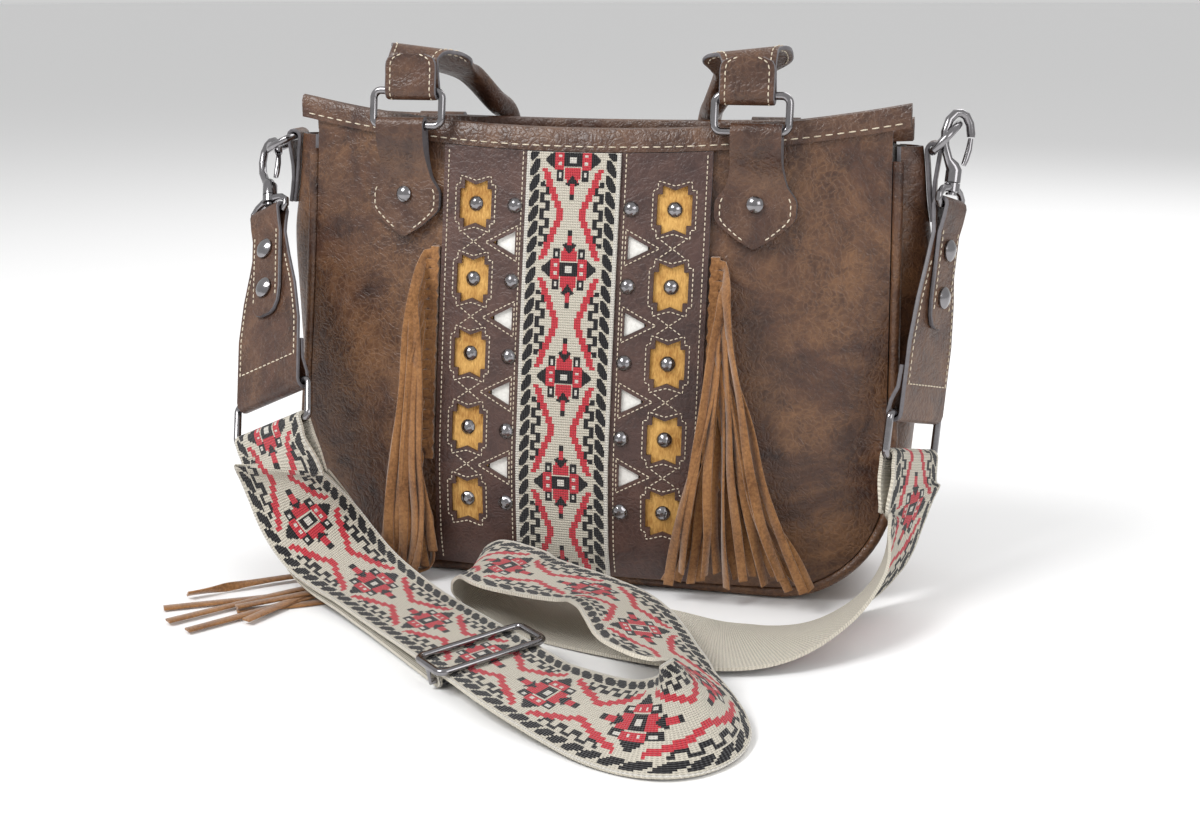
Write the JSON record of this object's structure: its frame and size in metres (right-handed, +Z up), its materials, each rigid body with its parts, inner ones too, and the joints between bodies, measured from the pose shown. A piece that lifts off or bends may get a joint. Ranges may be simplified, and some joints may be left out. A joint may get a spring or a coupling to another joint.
{
  "type": "tote bag",
  "caption": "Leather tote with rolled handles, an open lined interior, a woven band between cut-out hide inlays, side fringes and a clip-on woven shoulder strap.",
  "frame": {"origin": "middle of the base, on the surface that the bag stands on", "axes": "+X to the right as the decorated front is seen, +Y to the back, +Z up"},
  "size_m": [0.3936, 0.3388, 0.282],
  "materials": {
    "distressed_leather": "semi-gloss, crackled",
    "trim_leather": "semi-gloss",
    "overlay_leather": "semi-gloss",
    "lining_cloth": "matt plain weave",
    "base_board": "matt",
    "tan_hide": "short hair",
    "white_leather": "satin",
    "woven_webbing": "woven in red, black and cream",
    "tan_suede": "suede nap",
    "dark_nickel": "polished dark nickel"
  },
  "bodies": {
    "bag": {"back_panel": "distressed_leather", "back_piping": "distressed_leather", "back_rim_binding": "trim_leather", "base_board": "base_board", "centre_overlay": "overlay_leather", "chape_left": "trim_leather", "chape_right": "trim_leather", "chape_rivet_lower_left": "dark_nickel", "chape_rivet_lower_right": "dark_nickel", "chape_rivet_upper_left": "dark_nickel", "chape_rivet_upper_right": "dark_nickel", "d_ring_left": "dark_nickel", "d_ring_right": "dark_nickel", "fringe_left": "tan_suede", "fringe_right": "tan_suede", "front_panel": "distressed_leather", "front_piping": "distressed_leather", "front_rim_binding": "trim_leather", "gusset": "distressed_leather", "handle_tab_back_left": "trim_leather", "handle_tab_back_right": "trim_leather", "handle_tab_front_left": "trim_leather", "handle_tab_front_right": "trim_leather", "hide_strip_left": "tan_hide", "hide_strip_right": "tan_hide", "hook_body_left": "dark_nickel", "hook_body_right": "dark_nickel", "hook_eye_left": "dark_nickel", "hook_eye_right": "dark_nickel", "lining": "lining_cloth", "side_tab_left": "trim_leather", "side_tab_right": "trim_leather", "strap_ring_left": "dark_nickel", "strap_ring_right": "dark_nickel", "strap_slider": "dark_nickel", "strap_webbing": "woven_webbing", "tab_rivet_back_left": "dark_nickel", "tab_rivet_back_right": "dark_nickel", "tab_rivet_front_left": "dark_nickel", "tab_rivet_front_right": "dark_nickel", "white_strip_left": "white_leather", "white_strip_right": "white_leather", "woven_ribbon": "woven_webbing"},
    "handle_ring_front_left": {"handle_ring_front_left": "dark_nickel"},
    "handle_ring_front_right": {"handle_ring_front_right": "dark_nickel"},
    "handle_ring_back_left": {"handle_ring_back_left": "dark_nickel"},
    "handle_ring_back_right": {"handle_ring_back_right": "dark_nickel"},
    "front_handle": {"front_handle": "trim_leather"},
    "back_handle": {"back_handle": "trim_leather"},
    "hook_gate_left": {"hook_gate_left": "dark_nickel"},
    "hook_gate_right": {"hook_gate_right": "dark_nickel"}
  },
  "joints": [
    {"name": "front_ring_left_turn", "type": "hinge", "parent": "bag", "child": "handle_ring_front_left", "pos_m": [-0.0915, -0.03253, 0.24072], "axis": [1, 0, 0], "range_deg": [0, 25]},
    {"name": "front_ring_right_turn", "type": "hinge", "parent": "bag", "child": "handle_ring_front_right", "pos_m": [0.0915, -0.03253, 0.24072], "axis": [1, 0, 0], "range_deg": [0, 25]},
    {"name": "front_handle_swing", "type": "hinge", "parent": "handle_ring_front_left", "child": "front_handle", "pos_m": [0, -0.02953, 0.25872], "axis": [1, 0, 0], "range_deg": [0, 95]},
    {"name": "back_ring_left_turn", "type": "hinge", "parent": "bag", "child": "handle_ring_back_left", "pos_m": [-0.0915, 0.03273, 0.23946], "axis": [1, 0, 0], "range_deg": [0, 60]},
    {"name": "back_ring_right_turn", "type": "hinge", "parent": "bag", "child": "handle_ring_back_right", "pos_m": [0.0915, 0.03273, 0.23946], "axis": [1, 0, 0], "range_deg": [0, 60]},
    {"name": "back_handle_swing", "type": "hinge", "parent": "handle_ring_back_left", "child": "back_handle", "pos_m": [0, 0.04223, 0.22416], "axis": [1, 0, 0], "range_deg": [0, 110]},
    {"name": "left_gate", "type": "hinge", "parent": "bag", "child": "hook_gate_left", "pos_m": [-0.17761, -0.01227, 0.20913], "axis": [-0.5252, -0.7501, 0.4018], "range_deg": [0, 18], "stiffness_Nm_per_rad": 0.002, "springref_deg": -17.19},
    {"name": "right_gate", "type": "hinge", "parent": "bag", "child": "hook_gate_right", "pos_m": [0.19515, -0.00074, 0.22386], "axis": [0.5668, -0.8095, 0.1527], "range_deg": [0, 18], "stiffness_Nm_per_rad": 0.002, "springref_deg": -17.19}
  ],
  "couplings": [
    {"joint": "front_ring_right_turn", "follows": "front_ring_left_turn", "ratio": 1},
    {"joint": "back_ring_right_turn", "follows": "back_ring_left_turn", "ratio": 1}
  ]
}
